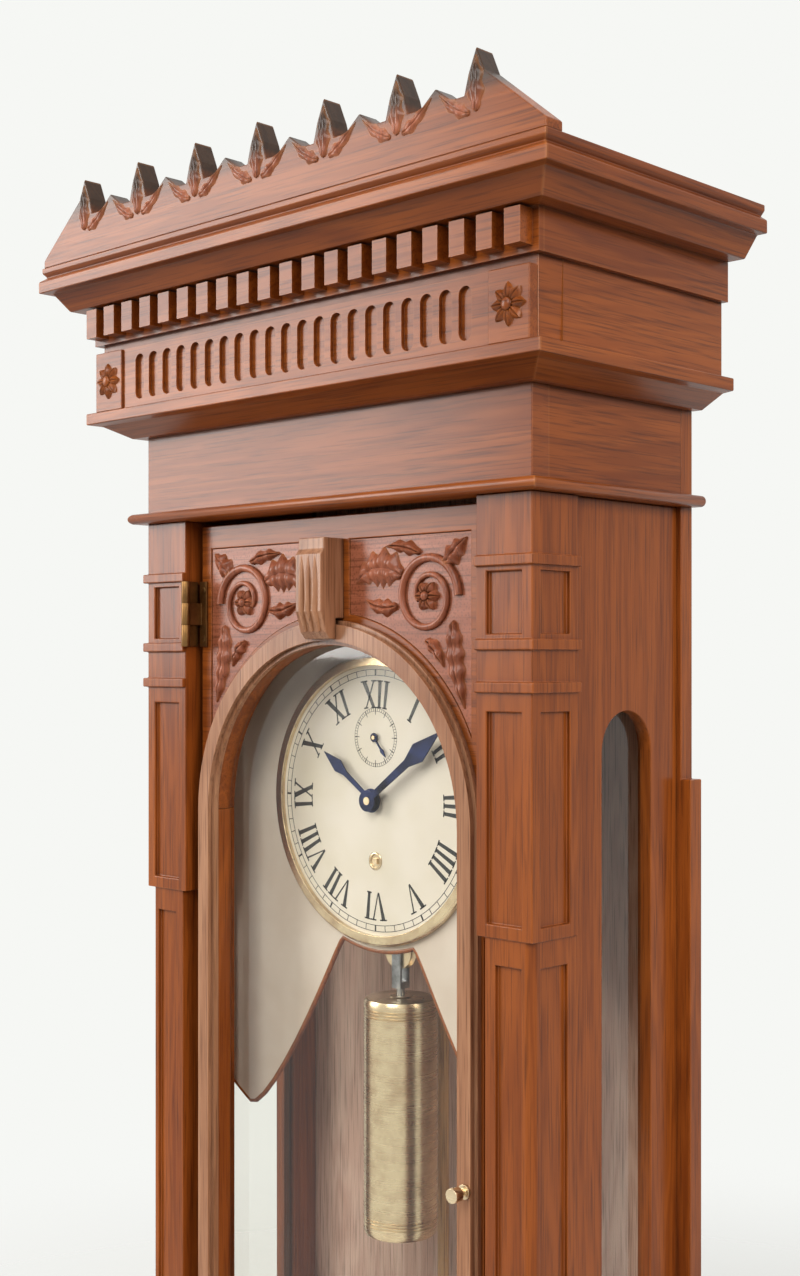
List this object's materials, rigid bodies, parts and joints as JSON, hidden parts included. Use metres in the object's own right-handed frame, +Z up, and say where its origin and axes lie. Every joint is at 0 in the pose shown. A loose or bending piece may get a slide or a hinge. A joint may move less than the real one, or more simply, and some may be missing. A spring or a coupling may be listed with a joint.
{
  "type": "wall regulator clock",
  "caption": "Weight-driven wall clock in a tall glazed wooden case with an arched, hinged door, white dial, pendulum and brass weight, hung on the wall by a plate at its back.",
  "frame": {"origin": "centre of the hanger plate's hole, on the wall plane", "axes": "+Z up, +Y into the wall, +X to the right of someone facing the dial"},
  "size_m": [0.524, 0.242, 1.231],
  "materials": {
    "case_wood": "polished reddish brown",
    "red_wood": "polished, darker and redder",
    "rod_wood": "varnished",
    "brass": "lacquered",
    "steel": "blued",
    "iron": "blackened",
    "enamel": "white enamel",
    "glass": "clear",
    "line": "gut"
  },
  "bodies": {
    "case": {"backboard": "case_wood", "hanger_plate": "brass", "head_boards": "case_wood", "plinth_boards": "case_wood", "top_board": "case_wood", "floor_board": "case_wood", "bottom_board": "case_wood", "right_corner_post": "case_wood", "left_corner_post": "case_wood", "right_side_frame": "case_wood", "left_side_frame": "case_wood", "side_glasses": "glass", "cornice_moulding": "case_wood", "frieze_moulding": "case_wood", "astragal_moulding": "case_wood", "base_moulding": "case_wood", "frieze_boards": "case_wood", "frieze_panel": "case_wood", "dentil_course": "case_wood", "cresting": "case_wood", "drop_finials": "case_wood", "case_hinge_leaves": "brass", "front_plate": "brass", "back_plate": "brass", "movement_pillars": "brass", "movement_bracket": "iron", "dial": "enamel", "dial_bezel": "brass", "suspension_cock": "iron", "beat_scale": "enamel", "weight_line": "line"},
    "door": {"door_right_stile": "case_wood", "door_left_stile": "case_wood", "door_bottom_rail": "case_wood", "door_arch_head": "case_wood", "spandrel_panels": "red_wood", "arch_moulding": "case_wood", "keystone": "case_wood", "door_glass": "glass", "door_hinge_leaves": "brass"},
    "latch": {"door_latch": "brass"},
    "centre": {"centre_wheel": "brass", "minute_hand": "steel"},
    "hour": {"hour_wheel": "brass", "hour_hand": "steel"},
    "motion": {"minute_wheel": "brass"},
    "third": {"third_wheel": "brass"},
    "escape": {"escape_wheel": "brass", "second_hand": "steel"},
    "great": {"great_wheel": "brass"},
    "drum": {"winding_drum": "brass"},
    "weight_body": {"weight": "brass", "weight_stirrup": "brass"},
    "pulley": {"weight_pulley": "brass"},
    "pendulum": {"pendulum_rod": "rod_wood", "suspension_spring": "steel"},
    "bob": {"pendulum_bob": "brass"},
    "nut": {"rating_nut": "brass"},
    "anchor": {"pallet_anchor": "steel"}
  },
  "joints": [
    {"name": "door_swing", "type": "hinge", "parent": "case", "child": "door", "pos_m": [-0.148, -0.183, -0.5], "axis": [0, 0, -1], "range_deg": [0, 105]},
    {"name": "latch_turn", "type": "hinge", "parent": "door", "child": "latch", "pos_m": [0.138, -0.15, -0.58], "axis": [0, -1, 0], "range_deg": [0, 90]},
    {"name": "centre_turn", "type": "hinge", "parent": "case", "child": "centre", "pos_m": [0, -0.1, -0.33], "axis": [0, 1, 0], "continuous": true},
    {"name": "hour_turn", "type": "hinge", "parent": "case", "child": "hour", "pos_m": [0, -0.12, -0.33], "axis": [0, 1, 0], "continuous": true},
    {"name": "motion_turn", "type": "hinge", "parent": "case", "child": "motion", "pos_m": [-0.018, -0.1, -0.33], "axis": [0, 1, 0], "continuous": true},
    {"name": "third_turn", "type": "hinge", "parent": "case", "child": "third", "pos_m": [0.0168, -0.08, -0.30335], "axis": [0, 1, 0], "continuous": true},
    {"name": "escape_turn", "type": "hinge", "parent": "case", "child": "escape", "pos_m": [0, -0.08, -0.28299], "axis": [0, 1, 0], "continuous": true},
    {"name": "great_turn", "type": "hinge", "parent": "case", "child": "great", "pos_m": [0, -0.07, -0.3756], "axis": [0, 1, 0], "continuous": true},
    {"name": "weight_drop", "type": "slide", "parent": "case", "child": "weight_body", "axis": [0, 0, 1], "range_m": [-0.25, 0], "deforming": ["weight_line"]},
    {"name": "drum_turn", "type": "hinge", "parent": "case", "child": "drum", "pos_m": [0, -0.094, -0.3756], "axis": [0, 1, 0], "continuous": true},
    {"name": "pulley_turn", "type": "hinge", "parent": "weight_body", "child": "pulley", "pos_m": [0, -0.094, -0.446], "axis": [0, 1, 0], "continuous": true},
    {"name": "pendulum_swing", "type": "hinge", "parent": "case", "child": "pendulum", "pos_m": [0, -0.046, -0.25], "axis": [0, 1, 0], "range_deg": [-2.5, 2.5]},
    {"name": "anchor_rock", "type": "hinge", "parent": "case", "child": "anchor", "pos_m": [0, -0.08, -0.25], "axis": [0, 1, 0], "range_deg": [-2.5, 2.5]},
    {"name": "bob_slide", "type": "slide", "parent": "pendulum", "child": "bob", "axis": [0, 0, 1], "range_m": [-0.003, 0.003]},
    {"name": "nut_turn", "type": "hinge", "parent": "bob", "child": "nut", "pos_m": [0, -0.046, -0.88], "axis": [0, 0, 1], "range_deg": [-1081, 1081]}
  ],
  "couplings": [
    {"joint": "hour_turn", "follows": "centre_turn", "ratio": 0.083333},
    {"joint": "motion_turn", "follows": "centre_turn", "ratio": -0.33333},
    {"joint": "third_turn", "follows": "centre_turn", "ratio": -8},
    {"joint": "escape_turn", "follows": "centre_turn", "ratio": 80},
    {"joint": "great_turn", "follows": "centre_turn", "ratio": -0.055556},
    {"joint": "drum_turn", "follows": "weight_drop", "rad_per_m": 181.82},
    {"joint": "pulley_turn", "follows": "weight_drop", "rad_per_m": 90.909},
    {"joint": "anchor_rock", "follows": "pendulum_swing", "ratio": 1},
    {"joint": "nut_turn", "follows": "bob_slide", "rad_per_m": 6283.2}
  ]
}
